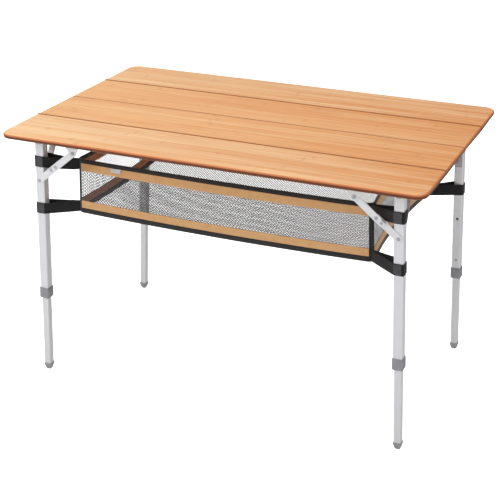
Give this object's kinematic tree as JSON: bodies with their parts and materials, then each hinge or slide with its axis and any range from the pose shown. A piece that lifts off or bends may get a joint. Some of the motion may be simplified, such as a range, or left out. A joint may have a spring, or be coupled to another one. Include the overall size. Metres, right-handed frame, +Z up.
{
  "type": "folding camp kitchen table",
  "caption": "Folding camp table with hinged bamboo boards, telescopic splayed aluminium legs on locking braces, and a mesh storage basket strapped between the legs.",
  "frame": {"origin": "on the ground, under the middle of the table top", "axes": "+X along the length of the top, +Y towards the rear, +Z up"},
  "size_m": [1, 0.642, 0.6415],
  "materials": {
    "bamboo": "clear satin lacquer over edge-glued bamboo strips",
    "hinge_metal": "dark full-length hinge",
    "leg_aluminium": "silver anodised tube",
    "brace_aluminium": "flat anodised bar",
    "bracket_steel": "zinc plated pressing",
    "collar_plastic": "moulded grey",
    "foot_plastic": "moulded grey",
    "basket_fabric": "tan woven bands over grey mesh with black binding",
    "strap_webbing": "black webbing with hook and loop"
  },
  "bodies": {
    "centre_panel": {"board_front_inner": "bamboo", "hinge_front_inner_leaf": "hinge_metal", "hinge_middle_front_leaf": "hinge_metal", "basket": "basket_fabric", "strap_upper_fl": "strap_webbing", "strap_upper_fr": "strap_webbing", "strap_upper_rl": "strap_webbing", "strap_upper_rr": "strap_webbing", "strap_lower_fl": "strap_webbing", "strap_lower_fr": "strap_webbing", "strap_lower_rl": "strap_webbing", "strap_lower_rr": "strap_webbing"},
    "front_panel": {"board_front_outer": "bamboo", "hinge_front_outer_leaf": "hinge_metal", "head_bracket_fl": "bracket_steel", "head_bracket_fr": "bracket_steel", "brace_bracket_fl": "bracket_steel", "brace_bracket_fr": "bracket_steel"},
    "rear_inner_panel": {"board_rear_inner": "bamboo", "hinge_middle_rear_leaf": "hinge_metal", "hinge_rear_inner_leaf": "hinge_metal"},
    "rear_panel": {"board_rear_outer": "bamboo", "hinge_rear_outer_leaf": "hinge_metal", "head_bracket_rl": "bracket_steel", "head_bracket_rr": "bracket_steel", "brace_bracket_rl": "bracket_steel", "brace_bracket_rr": "bracket_steel"},
    "leg_fl": {"leg_outer_tube_fl": "leg_aluminium", "lock_collar_fl": "collar_plastic", "side_strut_fl": "bracket_steel"},
    "lower_leg_fl": {"leg_inner_tube_fl": "leg_aluminium", "foot_fl": "foot_plastic"},
    "button_fl": {"snap_button_fl": "bracket_steel"},
    "lower_link_fl": {"brace_lower_link_fl": "brace_aluminium"},
    "upper_link_fl": {"brace_upper_link_fl": "brace_aluminium"},
    "leg_fr": {"leg_outer_tube_fr": "leg_aluminium", "lock_collar_fr": "collar_plastic", "side_strut_fr": "bracket_steel"},
    "lower_leg_fr": {"leg_inner_tube_fr": "leg_aluminium", "foot_fr": "foot_plastic"},
    "button_fr": {"snap_button_fr": "bracket_steel"},
    "lower_link_fr": {"brace_lower_link_fr": "brace_aluminium"},
    "upper_link_fr": {"brace_upper_link_fr": "brace_aluminium"},
    "leg_rl": {"leg_outer_tube_rl": "leg_aluminium", "lock_collar_rl": "collar_plastic", "side_strut_rl": "bracket_steel"},
    "lower_leg_rl": {"leg_inner_tube_rl": "leg_aluminium", "foot_rl": "foot_plastic"},
    "button_rl": {"snap_button_rl": "bracket_steel"},
    "lower_link_rl": {"brace_lower_link_rl": "brace_aluminium"},
    "upper_link_rl": {"brace_upper_link_rl": "brace_aluminium"},
    "leg_rr": {"leg_outer_tube_rr": "leg_aluminium", "lock_collar_rr": "collar_plastic", "side_strut_rr": "bracket_steel"},
    "lower_leg_rr": {"leg_inner_tube_rr": "leg_aluminium", "foot_rr": "foot_plastic"},
    "button_rr": {"snap_button_rr": "bracket_steel"},
    "lower_link_rr": {"brace_lower_link_rr": "brace_aluminium"},
    "upper_link_rr": {"brace_upper_link_rr": "brace_aluminium"}
  },
  "joints": [
    {"name": "top_fold", "type": "hinge", "parent": "centre_panel", "child": "rear_inner_panel", "pos_m": [0, 0, 0.6277], "axis": [-1, 0, 0], "range_deg": [0, 180], "deforming": ["basket", "strap_upper_fl", "strap_upper_fr", "strap_upper_rl", "strap_upper_rr", "strap_lower_fl", "strap_lower_fr", "strap_lower_rl", "strap_lower_rr"]},
    {"name": "front_fold", "type": "hinge", "parent": "centre_panel", "child": "front_panel", "pos_m": [0, -0.1608, 0.6403], "axis": [-1, 0, 0], "range_deg": [0, 180]},
    {"name": "rear_fold", "type": "hinge", "parent": "rear_inner_panel", "child": "rear_panel", "pos_m": [0, 0.1608, 0.6403], "axis": [1, 0, 0], "range_deg": [0, 180]},
    {"name": "leg_fold_fl", "type": "hinge", "parent": "front_panel", "child": "leg_fl", "pos_m": [-0.431, -0.254, 0.6135], "axis": [0, -1, 0], "range_deg": [0, 92.5]},
    {"name": "leg_height_fl", "type": "slide", "parent": "leg_fl", "child": "lower_leg_fl", "axis": [0.0436, 0, 0.999], "range_m": [0, 0.185]},
    {"name": "button_press_fl", "type": "slide", "parent": "lower_leg_fl", "child": "button_fl", "axis": [0, -1, 0], "range_m": [0, 0.0035], "stiffness_N_per_m": 500, "deforming": ["snap_button_fl"]},
    {"name": "lower_link_fold_fl", "type": "hinge", "parent": "leg_fl", "child": "lower_link_fl", "pos_m": [-0.43526, -0.254, 0.516], "axis": [0, 1, 0], "range_deg": [0, 152.1]},
    {"name": "upper_link_fold_fl", "type": "hinge", "parent": "front_panel", "child": "upper_link_fl", "pos_m": [-0.337, -0.254, 0.597], "axis": [0, -1, 0], "range_deg": [0, 136]},
    {"name": "leg_fold_fr", "type": "hinge", "parent": "front_panel", "child": "leg_fr", "pos_m": [0.431, -0.254, 0.6135], "axis": [0, 1, 0], "range_deg": [0, 92.5]},
    {"name": "leg_height_fr", "type": "slide", "parent": "leg_fr", "child": "lower_leg_fr", "axis": [-0.0436, 0, 0.999], "range_m": [0, 0.185]},
    {"name": "button_press_fr", "type": "slide", "parent": "lower_leg_fr", "child": "button_fr", "axis": [0, -1, 0], "range_m": [0, 0.0035], "stiffness_N_per_m": 500, "deforming": ["snap_button_fr"]},
    {"name": "lower_link_fold_fr", "type": "hinge", "parent": "leg_fr", "child": "lower_link_fr", "pos_m": [0.43526, -0.254, 0.516], "axis": [0, -1, 0], "range_deg": [0, 152.1]},
    {"name": "upper_link_fold_fr", "type": "hinge", "parent": "front_panel", "child": "upper_link_fr", "pos_m": [0.337, -0.254, 0.597], "axis": [0, 1, 0], "range_deg": [0, 136]},
    {"name": "leg_fold_rl", "type": "hinge", "parent": "rear_panel", "child": "leg_rl", "pos_m": [-0.431, 0.254, 0.6135], "axis": [0, -1, 0], "range_deg": [0, 92.5]},
    {"name": "leg_height_rl", "type": "slide", "parent": "leg_rl", "child": "lower_leg_rl", "axis": [0.0436, 0, 0.999], "range_m": [0, 0.185]},
    {"name": "button_press_rl", "type": "slide", "parent": "lower_leg_rl", "child": "button_rl", "axis": [0, 1, 0], "range_m": [0, 0.0035], "stiffness_N_per_m": 500, "deforming": ["snap_button_rl"]},
    {"name": "lower_link_fold_rl", "type": "hinge", "parent": "leg_rl", "child": "lower_link_rl", "pos_m": [-0.43526, 0.254, 0.516], "axis": [0, 1, 0], "range_deg": [0, 152.1]},
    {"name": "upper_link_fold_rl", "type": "hinge", "parent": "rear_panel", "child": "upper_link_rl", "pos_m": [-0.337, 0.254, 0.597], "axis": [0, -1, 0], "range_deg": [0, 136]},
    {"name": "leg_fold_rr", "type": "hinge", "parent": "rear_panel", "child": "leg_rr", "pos_m": [0.431, 0.254, 0.6135], "axis": [0, 1, 0], "range_deg": [0, 92.5]},
    {"name": "leg_height_rr", "type": "slide", "parent": "leg_rr", "child": "lower_leg_rr", "axis": [-0.0436, 0, 0.999], "range_m": [0, 0.185]},
    {"name": "button_press_rr", "type": "slide", "parent": "lower_leg_rr", "child": "button_rr", "axis": [0, 1, 0], "range_m": [0, 0.0035], "stiffness_N_per_m": 500, "deforming": ["snap_button_rr"]},
    {"name": "lower_link_fold_rr", "type": "hinge", "parent": "leg_rr", "child": "lower_link_rr", "pos_m": [0.43526, 0.254, 0.516], "axis": [0, -1, 0], "range_deg": [0, 152.1]},
    {"name": "upper_link_fold_rr", "type": "hinge", "parent": "rear_panel", "child": "upper_link_rr", "pos_m": [0.337, 0.254, 0.597], "axis": [0, 1, 0], "range_deg": [0, 136]}
  ],
  "couplings": [
    {"joint": "front_fold", "follows": "top_fold", "ratio": 1},
    {"joint": "rear_fold", "follows": "top_fold", "ratio": 1},
    {"joint": "lower_link_fold_fl", "follows": "leg_fold_fl", "ratio": 1.6422},
    {"joint": "upper_link_fold_fl", "follows": "leg_fold_fl", "ratio": 1.4685},
    {"joint": "lower_link_fold_fr", "follows": "leg_fold_fr", "ratio": 1.6422},
    {"joint": "upper_link_fold_fr", "follows": "leg_fold_fr", "ratio": 1.4685},
    {"joint": "lower_link_fold_rl", "follows": "leg_fold_rl", "ratio": 1.6422},
    {"joint": "upper_link_fold_rl", "follows": "leg_fold_rl", "ratio": 1.4685},
    {"joint": "lower_link_fold_rr", "follows": "leg_fold_rr", "ratio": 1.6422},
    {"joint": "upper_link_fold_rr", "follows": "leg_fold_rr", "ratio": 1.4685}
  ]
}
